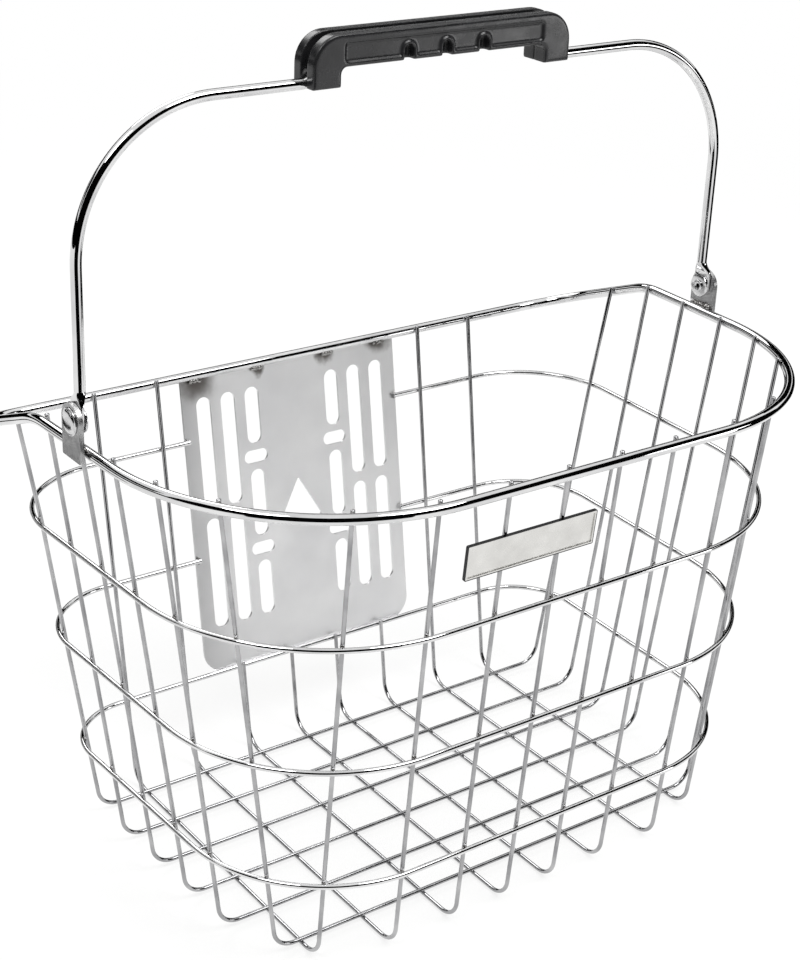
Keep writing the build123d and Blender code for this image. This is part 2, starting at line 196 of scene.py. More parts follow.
def bandMesh(name, low, high, first=0, last=360, sides=64):
    # band between two arcs, each (radius, z), from one bearing to another
    mesh = bpy.data.meshes.new(name)
    verts = []
    for radius, z in (low, high):
        for i in range(sides + 1):
            angle = math.radians(first + (last - first) * i / sides)
            verts.append((radius * math.cos(angle), radius * math.sin(angle), z))
    faces = [(i, i + 1, sides + 2 + i, sides + 1 + i) for i in range(sides)]
    mesh.from_pydata(verts, [], faces)
    return mesh


def makeFloor():
    # plain pale paper sweep, lifted to white for the camera and keeping its shadow
    material = bpy.data.materials.new("paleFloor")
    material.use_nodes = True
    tree = material.node_tree
    tree.nodes.clear()
    rays = addNode(tree, "ShaderNodeLightPath")
    paper = addNode(tree, "ShaderNodeBsdfDiffuse", {"Color": toLinear(studio["floorColour"])})
    glow = addNode(tree, "ShaderNodeEmission", {"Color": (1, 1, 1, 1), "Strength": 1.0})
    seen = addNode(tree, "ShaderNodeMath", {
        0: rays.outputs["Is Camera Ray"], 1: rays.outputs["Is Glossy Ray"],
    }, operation="ADD", use_clamp=True)
    where = addNode(tree, "ShaderNodeTexCoord")
    away = addNode(tree, "ShaderNodeVectorMath", {0: where.outputs["Object"]}, operation="LENGTH")
    near, far = studio["floorFade"]
    lift = addNode(tree, "ShaderNodeMapRange", {
        "Value": away.outputs["Value"], "From Min": near, "From Max": far,
        "To Min": studio["floorLift"], "To Max": 1.0,
    }, interpolation_type="SMOOTHSTEP")
    share = addNode(tree, "ShaderNodeMath", {0: seen.outputs[0], 1: lift.outputs[0]}, operation="MULTIPLY")
    mix = addNode(tree, "ShaderNodeMixShader", {
        0: share.outputs[0], 1: paper.outputs[0], 2: glow.outputs[0],
    })
    addNode(tree, "ShaderNodeOutputMaterial", {"Surface": mix.outputs[0]})
    inner = (studio["floorHole"], -studio["floorDrop"])
    outer = (studio["floorRadius"], -studio["floorDrop"])
    floor = addObject("floor", bandMesh("floor", inner, outer))
    floor.data.materials.append(material)


def makeFlags():
    # dark studio cards that only reflections show, which draw the black lines along the bright wire
    material = bpy.data.materials.new("blackCard")
    material.use_nodes = True
    tree = material.node_tree
    tree.nodes.clear()
    card = addNode(tree, "ShaderNodeEmission", {"Color": toLinear(studio["cardColour"]), "Strength": 1.0})
    addNode(tree, "ShaderNodeOutputMaterial", {"Surface": card.outputs[0]})
    for name, (low, high, first, last) in studio["cards"].items():
        card = addObject(name, bandMesh(name, low, high, first, last))
        card.data.materials.append(material)
        card.visible_camera = False
        card.visible_diffuse = False
        card.visible_shadow = False
        card.visible_transmission = False


noiseSpan = (0.3, 0.7)    # most of a noise's values lie between these
noiseDetail = {"cloud": 4.0, "smear": 3.0, "wave": 1.0, "grain": 3.0}


def finishMaterial(name, look, **constants):
    # every finish here is clouded in colour, smeared in polish, slowly wavy and finely grained
    material = bpy.data.materials.new(name)
    material.use_nodes = True
    tree = material.node_tree
    tree.nodes.clear()
    surface = addNode(tree, "ShaderNodeBsdfPrincipled", constants)
    addNode(tree, "ShaderNodeOutputMaterial", {"Surface": surface.outputs[0]})
    where = addNode(tree, "ShaderNodeTexCoord").outputs["Object"]
    layers = {}
    for layer, detail in noiseDetail.items():
        stretch = look.get(layer + "Stretch", (1, 1, 1))
        run = addNode(tree, "ShaderNodeMapping", {"Vector": where, "Scale": stretch})
        layers[layer] = addNode(tree, "ShaderNodeTexNoise", {
            "Vector": run.outputs[0], "Scale": 1 / (look[layer + "Size"] * mm), "Detail": detail,
        }).outputs["Fac"]
    low, high = noiseSpan
    cloud = addNode(tree, "ShaderNodeMapRange", {
        "Value": layers["cloud"], "From Min": low, "From Max": high,
    })
    dark, light = look["colours"]
    colour = addNode(tree, "ShaderNodeMix", {0: cloud.outputs[0], 6: toLinear(dark), 7: toLinear(light)},
                     data_type="RGBA")
    polish, dull = look["roughness"]
    smear = addNode(tree, "ShaderNodeMapRange", {
        "Value": layers["smear"], "From Min": low, "From Max": high, "To Min": polish, "To Max": dull,
    })
    wave = addNode(tree, "ShaderNodeBump", {
        "Height": layers["wave"], "Strength": 1.0, "Distance": look["waveDepth"] * mm,
    })
    grain = addNode(tree, "ShaderNodeBump", {
        "Height": layers["grain"], "Strength": 1.0, "Distance": look["grainDepth"] * mm,
        "Normal": wave.outputs[0],
    })
    tree.links.new(colour.outputs[2], surface.inputs["Base Color"])
    tree.links.new(smear.outputs[0], surface.inputs["Roughness"])
    tree.links.new(grain.outputs[0], surface.inputs["Normal"])
    return material, tree, surface, where


# sizes and depths in millimetres
wireLooks = {
    "polishedStainlessWire": {
        "colours": ("#CBCBCC", "#E6E6E6"), "cloudSize": 22, "roughness": (0.02, 0.06), "smearSize": 6,
        "waveSize": 34, "waveDepth": 0.12, "grainSize": 1.2, "grainDepth": 0.001,
    },
    "satinStainlessWire": {
        "colours": ("#929294", "#BABABB"), "cloudSize": 14, "roughness": (0.05, 0.12), "smearSize": 5,
        "waveSize": 24, "waveDepth": 0.1, "grainSize": 0.7, "grainDepth": 0.002,
        "grainStretch": (1, 1, 0.15),
    },
}


def polishedWire():
    # bright drawn stainless wire: a near mirror, faintly wavy along its length from straightening
    return finishMaterial("polishedStainlessWire", wireLooks["polishedStainlessWire"], Metallic=1.0)[0]


def satinWire():
    # electropolished grid wire: a softer shine, with fine drawing marks drawn coarse enough to show
    return finishMaterial("satinStainlessWire", wireLooks["satinStainlessWire"], Metallic=1.0)[0]


plateLook = {
    "colours": ("#E2E2E3", "#EEEEEE"), "cloudSize": 38, "roughness": (0.34, 0.44), "smearSize": 11,
    "waveSize": 45, "waveDepth": 0.12, "grainSize": 0.5, "grainDepth": 0.012,
    "grainStretch": (0.12, 1, 1),
    "weldX": (-56.0, -20.0, 22.0, 54.0),
    "stainReach": (17.0, 6.0, 7.0, 10.0),    # how far each weld's heat discoloured the sheet
    "stainCore": 2.0, "stainColour": "#6B6764",
    "stainWarp": 10.0, "stainWarpSize": 10.5, "stainDetail": 3.0,
    # painted shade: the sheet greys towards its left end, from and to in millimetres along x, the grey, and
    # how much of it
    "shadedEdge": (-64.0, -42.0), "shadeColour": "#A2A2A3", "shadeShare": 0.5,
}


def brushedPlate():
    # brushed stainless sheet: a soft grey glow drawn out by the brush, brown-grey round its welds, and
    # painted shade greying its left end
    material, tree, surface, where = finishMaterial("brushedStainlessSheet", plateLook, Metallic=1.0)
    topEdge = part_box("mount_plate")[1]
    cloudy = addNode(tree, "ShaderNodeTexNoise", {
        "Vector": where, "Scale": 1 / (plateLook["stainWarpSize"] * mm),
        "Detail": plateLook["stainDetail"],
    })
    warp = addNode(tree, "ShaderNodeVectorMath", {
        0: cloudy.outputs["Color"], 1: (plateLook["stainWarp"] * mm,) * 3,
    }, operation="MULTIPLY")
    moved = addNode(tree, "ShaderNodeVectorMath", {0: where, 1: warp.outputs[0]}, operation="ADD")
    halfWarp = plateLook["stainWarp"] * mm / 2
    stain = None
    for x, reachMm in zip(plateLook["weldX"], plateLook["stainReach"]):
        weld = (x * mm + halfWarp, topEdge.y + halfWarp, topEdge.z + halfWarp)
        away = addNode(tree, "ShaderNodeVectorMath", {0: moved.outputs[0], 1: weld}, operation="DISTANCE")
        near = addNode(tree, "ShaderNodeMapRange", {
            "Value": away.outputs["Value"], "From Min": plateLook["stainCore"] * mm,
            "From Max": reachMm * mm, "To Min": 1.0, "To Max": 0.0,
        }, interpolation_type="SMOOTHERSTEP").outputs[0]
        if stain:
            near = addNode(tree, "ShaderNodeMath", {0: stain, 1: near}, operation="MAXIMUM").outputs[0]
        stain = near
    # painted shade: the left end of the sheet is mixed towards a darker grey
    across = addNode(tree, "ShaderNodeSeparateXYZ", {0: where})
    edge, clear = plateLook["shadedEdge"]
    dull = addNode(tree, "ShaderNodeMapRange", {
        "Value": across.outputs["X"], "From Min": edge * mm, "From Max": clear * mm,
        "To Min": plateLook["shadeShare"], "To Max": 0.0,
    })
    colour = surface.inputs["Base Color"].links[0].from_socket
    for share, tint in ((dull.outputs[0], plateLook["shadeColour"]), (stain, plateLook["stainColour"])):
        colour = addNode(tree, "ShaderNodeMix", {0: share, 6: colour, 7: toLinear(tint)},
                         data_type="RGBA").outputs[2]
    tree.links.new(colour, surface.inputs["Base Color"])
    return material


badgeLook = {
    "colours": ("#D4D3D0", "#E4E3E0"), "cloudSize": 9, "roughness": (0.24, 0.36), "smearSize": 4,
    "waveSize": 12, "waveDepth": 0.05, "grainSize": 0.4, "grainDepth": 0.008,
    "grainStretch": (0.12, 1, 1),
    # the dark line round the edge is painted shade; line is its width in millimetres
    "width": 68.5, "height": 16.4, "line": 0.42, "edgeShadeColour": "#3A3A3B",
}


def badgeSheet():
    # thin bright brushed sheet with a dark line of painted shade round its frame, standing in for the shade
    # on its rolled edge
    material, tree, surface, where = finishMaterial("brushedBadgeEdgeShade", badgeLook, Metallic=1.0)
    low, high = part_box("nameplate")
    middle = tuple((low + high) / 2)
    centred = addNode(tree, "ShaderNodeVectorMath", {0: where, 1: middle}, operation="SUBTRACT")
    split = addNode(tree, "ShaderNodeSeparateXYZ", {0: centred.outputs[0]})
    sides = []
    for axis, full in (("X", badgeLook["width"]), ("Z", badgeLook["height"])):
        away = addNode(tree, "ShaderNodeMath", {0: split.outputs[axis]}, operation="ABSOLUTE")
        start = (full / 2 - badgeLook["line"]) * mm
        past = addNode(tree, "ShaderNodeMath", {0: away.outputs[0], 1: start}, operation="GREATER_THAN")
        sides.append(past.outputs[0])
    border = addNode(tree, "ShaderNodeMath", {0: sides[0], 1: sides[1]}, operation="MAXIMUM")
    # painted shade: a dark band along all four edges of the badge
    sheet = surface.inputs["Base Color"].links[0].from_socket
    edgeShaded = addNode(tree, "ShaderNodeMix", {
        0: border.outputs[0], 6: sheet, 7: toLinear(badgeLook["edgeShadeColour"]),
    }, data_type="RGBA")
    tree.links.new(edgeShaded.outputs[2], surface.inputs["Base Color"])
    return material


bracketLook = {
    "colours": ("#B0B0B1", "#CCCCCC"), "cloudSize": 5, "roughness": (0.28, 0.38), "smearSize": 2,
    "waveSize": 7, "waveDepth": 0.05, "grainSize": 0.6, "grainDepth": 0.006,
}


def stampedSteel():
    # stamped and tumbled bracket steel: an even fine grain, softly reflective
    return finishMaterial("tumbledBracketSteel", bracketLook, Metallic=1.0)[0]


rivetLook = {
    "colours": ("#C0C0C1", "#E0E0E0"), "cloudSize": 3, "roughness": (0.13, 0.2), "smearSize": 2,
    "waveSize": 8, "waveDepth": 0.01, "grainSize": 0.6, "grainDepth": 0.001,
    "turningPitch": 0.45, "turningDepth": 0.002,
}


def turnedSteel():
    # turned and polished rivet steel: bright, with faint rings about its axis
    material, tree, surface, where = finishMaterial("turnedRivetSteel", rivetLook, Metallic=1.0)
    axle = (0, (bail["pivotY"] + shiftY) * mm, bail["pivotZ"] * mm)
    apart = addNode(tree, "ShaderNodeVectorMath", {0: where, 1: axle}, operation="SUBTRACT")
    flat = addNode(tree, "ShaderNodeVectorMath", {0: apart.outputs[0], 1: (0, 1, 1)}, operation="MULTIPLY")
    radius = addNode(tree, "ShaderNodeVectorMath", {0: flat.outputs[0]}, operation="LENGTH")
    turns = addNode(tree, "ShaderNodeMath", {
        0: radius.outputs["Value"], 1: 2 * math.pi / (rivetLook["turningPitch"] * mm),
    }, operation="MULTIPLY")
    rings = addNode(tree, "ShaderNodeMath", {0: turns.outputs[0]}, operation="SINE")
    bump = addNode(tree, "ShaderNodeBump", {
        "Height": rings.outputs[0], "Strength": 1.0, "Distance": rivetLook["turningDepth"] * mm,
        "Normal": surface.inputs["Normal"].links[0].from_socket,
    })
    tree.links.new(bump.outputs[0], surface.inputs["Normal"])
    return material


weldLook = {
    "colours": ("#4B4744", "#C9C8C6"), "cloudSize": 1.6, "roughness": (0.16, 0.42), "smearSize": 1.2,
    "waveSize": 3, "waveDepth": 0.1, "grainSize": 0.9, "grainDepth": 0.1,
}


def weldMetal():
    # weld metal left as it set: grey-brown oxide in the hollows and bright high spots
    return finishMaterial("oxidisedWeldMetal", weldLook, Metallic=1.0)[0]


plasticLook = {
    "colours": ("#161617", "#222224"), "cloudSize": 16, "roughness": (0.20, 0.32), "smearSize": 9,
    "waveSize": 14, "waveDepth": 0.08, "grainSize": 0.45, "grainDepth": 0.01,
}


def mouldedPlastic():
    # black polypropylene from a finely eroded mould: low sheen, slightly cloudy from handling
    return finishMaterial("mouldedBlackPolypropylene", plasticLook, IOR=1.49)[0]


# The wall of the basket and the routes of its wires are worked out in millimetres.
def between(pair, z):
    return pair[0] + (pair[1] - pair[0]) * z / grid["rimHeight"]


def wallAt(z, grow=0.0):
    sizes = {key: between(grid[key], z) + grow for key in ("front", "back", "frontR", "backR")}
    sizes["half"] = between(grid["half"], z) + grow * math.hypot(1, grid["sideTaper"])
    return sizes


def cornerOf(wall, end):
    radius = wall[end + "R"]
    y = radius - wall["front"] if end == "front" else wall["back"] - radius
    return wall["half"] + grid["sideTaper"] * y - radius * math.hypot(1, grid["sideTaper"]), y, radius


def sideX(y, z):
    wall = wallAt(z)
    for end, sign in (("front", -1), ("back", 1)):
        x, centreY, radius = cornerOf(wall, end)
        tangentY = centreY - radius * grid["sideTaper"] / math.hypot(1, grid["sideTaper"])
        if (y - tangentY) * sign > 0:
            return x + math.sqrt(radius ** 2 - (y - centreY) ** 2)
    return wall["half"] + grid["sideTaper"] * y


def endY(x, z, end):
    wall = wallAt(z)
    sign = -1 if end == "front" else 1
    centreX, centreY, radius = cornerOf(wall, end)
    if abs(x) > centreX:
        return centreY + sign * math.sqrt(radius ** 2 - (abs(x) - centreX) ** 2)
    return sign * wall[end]


def rimZ(y):
    return grid["rimHeight"] - grid["dipSlope"] * max(0.0, y - grid["dipStart"])


# degrees: the spacing of points round a bend, and the least bend that isn't left straight
bends = {"fine": 2.0, "coarse": 7.0, "least": 0.05}


def bendCorners(points, radii, closed=False, step="fine"):
    # straight runs and tangent arcs, as points close enough to look smooth
    spots = [Vector(p) for p in points]
    count = len(spots)
    path = [] if closed else [spots[0]]
    for i in range(count) if closed else range(1, count - 1):
        before = (spots[i - 1] - spots[i]).normalized()
        after = (spots[(i + 1) % count] - spots[i]).normalized()
        turn = math.pi - before.angle(after)
        if turn < math.radians(bends["least"]):
            continue
        half = (math.pi - turn) / 2
        middle = spots[i] + (before + after).normalized() * radii[i] / math.sin(half)
        outward = spots[i] + before * radii[i] / math.tan(half) - middle
        steps = max(2, math.ceil(math.degrees(turn) / bends[step]))
        axis = before.cross(after).normalized()
        for k in range(steps + 1):
            path.append(middle + Matrix.Rotation(-turn * k / steps, 3, axis) @ outward)
    if not closed:
        path.append(spots[-1])
    return path


def rimPath():
    wall = wallAt(grid["rimHeight"], rimGap)
    corners = (-wall["front"], grid["dipStart"], rimBackY)
    right = [(wall["half"] + grid["sideTaper"] * y, y, rimZ(y)) for y in corners]
    radii = [wall["frontR"], grid["dipBendR"], grid["rimBackR"]]
    left = [(-x, y, z) for x, y, z in reversed(right)]
    return bendCorners(right + left, radii + radii[::-1], closed=True)


def ringPath(z, closed):
    wall = wallAt(z, ringGap)
    right = [(wall["half"] - grid["sideTaper"] * wall["front"], -wall["front"], z),
             (wall["half"] + grid["sideTaper"] * wall["back"], wall["back"], z)]
    left = [(-x, y, h) for x, y, h in reversed(right)]
    if closed:
        radii = [wall["frontR"], wall["backR"], wall["backR"], wall["frontR"]]
        return bendCorners(right + left, radii, closed=True)
    lap = grid["plateHalf"] - grid["ringLap"]
    points = [(-lap, wall["back"], z)] + left + right + [(lap, wall["back"], z)]
    radii = [0, wall["backR"], wall["frontR"], wall["frontR"], wall["backR"], 0]
    return bendCorners(points, radii)


def reach(low, high, z):
    share = (z - low[2]) / (high[2] - low[2])
    return tuple(a + (b - a) * share for a, b in zip(low, high))


def legThrough(contacts, floorZ, tipZ):
    passed = [spot for spot in contacts if spot[2] < tipZ]
    last = max(len(passed) - 1, 1)
    foot = reach(contacts[0], contacts[1], floorZ)
    tip = reach(contacts[last - 1], contacts[last], tipZ)
    return [foot] + passed + [tip]


def wirePath(leftLeg, rightLeg):
    points = leftLeg[::-1] + rightLeg
    radii = [grid["legBendR"]] * len(points)
    radii[len(leftLeg) - 1] = grid["floorBendR"]
    radii[len(leftLeg)] = grid["floorBendR"]
    return bendCorners(points, radii, step="coarse")


def crossLegs(y):
    wall = wallAt(grid["rimHeight"])
    rimX = sideX(y, grid["rimHeight"]) if y <= grid["dipStart"] else wall["half"] + grid["sideTaper"] * y
    contacts = [(sideX(y, z), y, z) for z in grid["ringHeights"]] + [(rimX, y, rimZ(y))]
    leg = legThrough(contacts, 3 * grid["wireR"] - grid["sink"], rimZ(y) + grid["tipRise"])
    return [(-x, spotY, z) for x, spotY, z in leg], leg


def frontBackLegs(x):
    topZ = rimZ(rimBackY)
    front = [(x * (1 + grid["frontFlare"] * z / grid["rimHeight"]), z)
             for z in grid["ringHeights"] + (grid["rimHeight"],)]
    front = [(spotX, endY(spotX, z, "front"), z) for spotX, z in front]
    back = [(x * (1 + grid["backFlare"] * z / topZ), z) for z in grid["ringHeights"]]
    back = [(spotX, endY(spotX, z, "back"), z) for spotX, z in back]
    back.append((x * (1 + grid["backFlare"]), rimBackY - rimGap, topZ))
    short = abs(x) < grid["plateHalf"]
    backTip = grid["ringHeights"][0] + grid["ringTipRise"] if short else topZ + grid["tipRise"]
    frontLeg = legThrough(front, grid["wireR"], grid["rimHeight"] + grid["tipRise"])
    return frontLeg, legThrough(back, grid["wireR"], backTip)


def bailPath():
    right = [
        (bail["legX"], bail["pivotY"], bail["pivotZ"] + bail["taperTop"]),
        (bail["legX"], bail["pivotY"], bail["barZ"]),
        (bail["stepX"], bail["pivotY"], bail["barZ"]),
        (bail["stepX"] - bail["stepRun"], bail["pivotY"], bail["gripWireZ"]),
    ]
    left = [(-x, y, z) for x, y, z in reversed(right)]
    radii = [0, bail["cornerR"], bail["stepBendR"], bail["stepBendR"]]
    return bendCorners(right + left, radii + radii[::-1])


def newTree(name, inputs):
    tree = bpy.data.node_groups.new(name, "GeometryNodeTree")
    tree.interface.new_socket("Geometry", in_out="INPUT", socket_type="NodeSocketGeometry")
    for label, kind in inputs:
        tree.interface.new_socket(label, in_out="INPUT", socket_type=kind)
    tree.interface.new_socket("Geometry", in_out="OUTPUT", socket_type="NodeSocketGeometry")
    return tree, addNode(tree, "NodeGroupInput")


def wireTree():
    tree, given = newTree("drawnWire", (
        ("Radius", "NodeSocketFloat"), ("Sides", "NodeSocketInt"), ("Material", "NodeSocketMaterial"),
    ))
    route = addNode(tree, "GeometryNodeMeshToCurve", {"Mesh": given.outputs["Geometry"]})
    section = addNode(tree, "GeometryNodeCurvePrimitiveCircle", {
        "Resolution": given.outputs["Sides"], "Radius": given.outputs["Radius"],
    })
    tube = addNode(tree, "GeometryNodeCurveToMesh", {
        "Curve": route.outputs[0], "Profile Curve": section.outputs[0], "Fill Caps": True,
    })
    real = addNode(tree, "GeometryNodeRealizeInstances", {0: tube.outputs[0]})
    coloured = addNode(tree, "GeometryNodeSetMaterial", {
        0: real.outputs[0], "Material": given.outputs["Material"],
    })
    addNode(tree, "NodeGroupOutput", {0: coloured.outputs[0]})
    return tree


beadBall = {"segments": 10, "rings": 6, "lumpScale": 900.0, "lumpDetail": 1.0}


def beadTree():
    # beads flattened along their own facing, each a little different
    tree, given = newTree("weldBeads", (
        ("Width", "NodeSocketFloat"), ("Flatness", "NodeSocketFloat"), ("Variation", "NodeSocketFloat"),
        ("Roughening", "NodeSocketFloat"), ("Seed", "NodeSocketInt"), ("Material", "NodeSocketMaterial"),
    ))
    ball = addNode(tree, "GeometryNodeMeshUVSphere", {
        "Segments": beadBall["segments"], "Rings": beadBall["rings"], "Radius": 1.0,
    })
    facing = addNode(tree, "GeometryNodeInputNamedAttribute", {"Name": "facing"}, data_type="FLOAT_VECTOR")
    turned = addNode(tree, "FunctionNodeAlignRotationToVector", {"Vector": facing.outputs[0]}, axis="Z")
    low = addNode(tree, "ShaderNodeMath", {0: 1.0, 1: given.outputs["Variation"]}, operation="SUBTRACT")
    high = addNode(tree, "ShaderNodeMath", {0: 1.0, 1: given.outputs["Variation"]}, operation="ADD")
    chance = addNode(tree, "FunctionNodeRandomValue", {"Seed": given.outputs["Seed"]}, data_type="FLOAT")
    tree.links.new(low.outputs[0], chance.inputs[2])
    tree.links.new(high.outputs[0], chance.inputs[3])
    size = addNode(tree, "ShaderNodeMath", {
        0: chance.outputs[1], 1: given.outputs["Width"],
    }, operation="MULTIPLY")
    depth = addNode(tree, "ShaderNodeMath", {
        0: size.outputs[0], 1: given.outputs["Flatness"],
    }, operation="MULTIPLY")
    scale = addNode(tree, "ShaderNodeCombineXYZ", {
        0: size.outputs[0], 1: size.outputs[0], 2: depth.outputs[0],
    })
    beads = addNode(tree, "GeometryNodeInstanceOnPoints", {
        "Points": given.outputs["Geometry"], "Instance": ball.outputs[0],
        "Rotation": turned.outputs[0], "Scale": scale.outputs[0],
    })
    real = addNode(tree, "GeometryNodeRealizeInstances", {0: beads.outputs[0]})
    lumps = addNode(tree, "ShaderNodeTexNoise", {
        "Scale": beadBall["lumpScale"], "Detail": beadBall["lumpDetail"],
    })
    centred = addNode(tree, "ShaderNodeVectorMath", {
        0: lumps.outputs["Color"], 1: (0.5, 0.5, 0.5),
    }, operation="SUBTRACT")
    push = addNode(tree, "ShaderNodeVectorMath", {0: centred.outputs[0]}, operation="SCALE")
    tree.links.new(given.outputs["Roughening"], push.inputs["Scale"])
    rough = addNode(tree, "GeometryNodeSetPosition", {0: real.outputs[0], "Offset": push.outputs[0]})
    coloured = addNode(tree, "GeometryNodeSetMaterial", {
        0: rough.outputs[0], "Material": given.outputs["Material"],
    })
    addNode(tree, "NodeGroupOutput", {0: coloured.outputs[0]})
    return tree


def runTree(name, mesh, tree, values):
    # evaluate a tree on a source mesh and keep only the plain mesh that it makes
    source = addObject(name + "_source", mesh)
    modifier = source.modifiers.new("build", "NODES")
    modifier.node_group = tree
    inputs = [item for item in tree.interface.items_tree if item.in_out == "INPUT"]
    identifiers = {item.name: item.identifier for item in inputs}
    for label, value in values.items():
        modifier[identifiers[label]] = value
    ready = source.evaluated_get(bpy.context.evaluated_depsgraph_get())
    plain = bpy.data.meshes.new_from_object(ready)
    plain.name = name
    bpy.data.objects.remove(source)
    return addObject(name, plain)


def smooth(piece, sharpDegrees=35.0):
    piece.data.shade_smooth()
    piece.data.set_sharp_from_angle(angle=math.radians(sharpDegrees))


def makeWire(name, path, radius, sides, material, closed=False):
    mesh = bpy.data.meshes.new(name)
    count = len(path)
    edges = [(i, (i + 1) % count) for i in range(count if closed else count - 1)]
    mesh.from_pydata([place(p) for p in path], edges, [])
    piece = runTree(name, mesh, drawnWire, {"Radius": radius * mm, "Sides": sides, "Material": material})
    smooth(piece)
    return piece


def makeBeads(name, spots, material, width, flatness, variation, roughening, seed):
    # spots are (point, facing) pairs
    mesh = bpy.data.meshes.new(name)
    mesh.from_pydata([place(point) for point, facing in spots], [], [])
    facings = mesh.attributes.new("facing", "FLOAT_VECTOR", "POINT")
    for item, (point, facing) in zip(facings.data, spots):
        item.vector = facing
    piece = runTree(name, mesh, weldBeads, {
        "Width": width * mm, "Flatness": flatness, "Variation": variation,
        "Roughening": roughening * mm, "Seed": seed, "Material": material,
    })
    smooth(piece, sharpDegrees=60.0)
    return piece


def makeGrid():
    polished, satin = looks["polished_wire"], looks["grid_wire"]
    rim = makeWire("rim_wire", rimPath(), grid["rimR"], grid["rimSides"], polished, closed=True)
    finishPiece(rim, "basket", "polished_wire", "rim")
    for name, z in zip(("ring_lower", "ring_middle", "ring_upper"), grid["ringHeights"]):
        closed = name == "ring_lower"
        route = ringPath(z, closed)
        piece = makeWire(name + "_wire", route, grid["ringR"], grid["ringSides"], polished, closed)
        finishPiece(piece, "basket", "polished_wire", name)
    for index, x in enumerate(grid["frontBackX"], start=1):
        route = wirePath(*frontBackLegs(x))
        piece = makeWire("floor_and_end_%d" % index, route, grid["wireR"], grid["wireSides"], satin)
        finishPiece(piece, "basket", "grid_wire", "front_back_wire_%d" % index)
    for index, y in enumerate(grid["crossY"], start=1):
        route = wirePath(*crossLegs(y))
        piece = makeWire("floor_and_side_%d" % index, route, grid["wireR"], grid["wireSides"], satin)
        finishPiece(piece, "basket", "grid_wire", "cross_wire_%d" % index)
    print("grid wires made")


welding = {
    "nugget": {"width": 0.95, "flatness": 0.62, "variation": 0.22, "roughening": 0.30, "seed": 4},
    "tip": {"width": 1.10, "flatness": 0.55, "variation": 0.06, "roughening": 0.0, "seed": 9},
    "bead": {"width": 1.25, "flatness": 0.72, "variation": 0.25, "roughening": 0.55, "seed": 14},
    "seam": {"width": 1.65, "flatness": 0.8, "variation": 0.3, "roughening": 0.8, "seed": 5},
    # where the melt sits at a crossing, as shares of the wires' radii
    "riseShare": 0.95, "outShare": 0.75, "rimShare": 0.55, "floorShare": 0.7,
    "endFacing": 1.25,                              # turns the facing towards the front or back
    "rimZone": 40.0, "tipSink": 0.15,
    "lapInset": 1.0, "lapOut": 0.4, "lapLift": 0.9,
    "seamCount": 7, "seamHalf": 5.0, "seamInset": 0.7, "seamTilt": 0.8,
    "beadCount": 4, "beadStart": -2.4, "beadStep": 1.6,
    "beadOut": 0.9, "beadDrop": 1.2, "beadTilt": -0.4,
}


def legWelds(leg):
    # a dome on the wire's end, and a nugget at each ring or rim that the leg crosses
    up = (Vector(leg[-1]) - Vector(leg[-2])).normalized()
    tip = (Vector(leg[-1]) - up * welding["tipSink"], up)
    nuggets = []
    for spot in leg[1:-1]:
        onRing = spot[2] < grid["rimHeight"] - welding["rimZone"]
        away = Vector((spot[0], spot[1] * welding["endFacing"], 0)).normalized()
        crossed = grid["ringR"] if onRing else grid["rimR"] * welding["rimShare"]
        melt = Vector(spot) + away * grid["wireR"] * welding["outShare"]
        nuggets.append((melt + Vector((0, 0, crossed * welding["riseShare"])), away))
    return nuggets, tip


def makeGridWelds():
    nuggets, tips = [], []
    legs = [leg for y in grid["crossY"] for leg in crossLegs(y)]
    legs += [leg for x in grid["frontBackX"] for leg in frontBackLegs(x)]
    for leg in legs:
        found, tip = legWelds(leg)
        nuggets += found
        tips.append(tip)
    side = grid["wireR"] * welding["floorShare"]
    floorZ = 2 * grid["wireR"] - grid["sink"] / 2
    for x in grid["frontBackX"]:
        for y in grid["crossY"]:
            nuggets.append((Vector((x + side, y + side, floorZ)), Vector((0, 0, 1))))
    lapX = grid["plateHalf"] - welding["lapInset"]
    for z in grid["ringHeights"][1:]:
        y = between(grid["back"], z) + ringGap + welding["lapOut"]
        for x in (-lapX, lapX):
            for lift in (-welding["lapLift"], welding["lapLift"]):
                nuggets.append((Vector((x, y, z + lift)), Vector((0, 1, 0))))
    melt = makeBeads("grid_weld_nuggets", nuggets, looks["weld_bead"], **welding["nugget"])
    finishPiece(melt, "basket", "weld_bead")
    domes = makeBeads("wire_end_domes", tips, looks["grid_wire"], **welding["tip"])
    finishPiece(domes, "basket", "grid_wire")
    print("welds made:", len(nuggets), "nuggets and", len(tips), "wire ends")


def makeSeams():
    # the ragged beads between brackets and rim, and between plate and rim
    seamSpots, beadSpots = [], []
    topZ = grid["rimHeight"] + grid["rimR"]
    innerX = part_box("bracket_right")[0].x / mm - welding["seamInset"]
    spacing = 2 * welding["seamHalf"] / (welding["seamCount"] - 1)
    for side in (-1, 1):
        for k in range(welding["seamCount"]):
            y = bail["pivotY"] - welding["seamHalf"] + spacing * k
            seamSpots.append((Vector((side * innerX, y, topZ)), Vector((-side, 0, welding["seamTilt"]))))
    seams = makeBeads("bracket_weld_beads", seamSpots, looks["weld_bead"], **welding["seam"])
    finishPiece(seams, "basket", "weld_bead", "bracket_welds")
    low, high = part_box("plate_welds")
    beadY = low.y / mm - shiftY + welding["beadOut"]
    beadZ = high.z / mm - welding["beadDrop"]
    for weldX in plateLook["weldX"]:
        for k in range(welding["beadCount"]):
            x = weldX + welding["beadStart"] + welding["beadStep"] * k
            beadSpots.append((Vector((x, beadY, beadZ)), Vector((0, -1, welding["beadTilt"]))))
    beads = makeBeads("plate_weld_beads", beadSpots, looks["weld_bead"], **welding["bead"])
    finishPiece(beads, "basket", "weld_bead", "plate_welds")
    print("seams made")


paddle = {
    "sides": 32, "taperSteps": 8, "flatSteps": 3,
    "endStep": 8, "endLast": 87, "endCount": 11,    # the round end, in degrees
    "roundPower": 2, "squarePower": 6,              # a circle, and a rectangle with soft corners
}


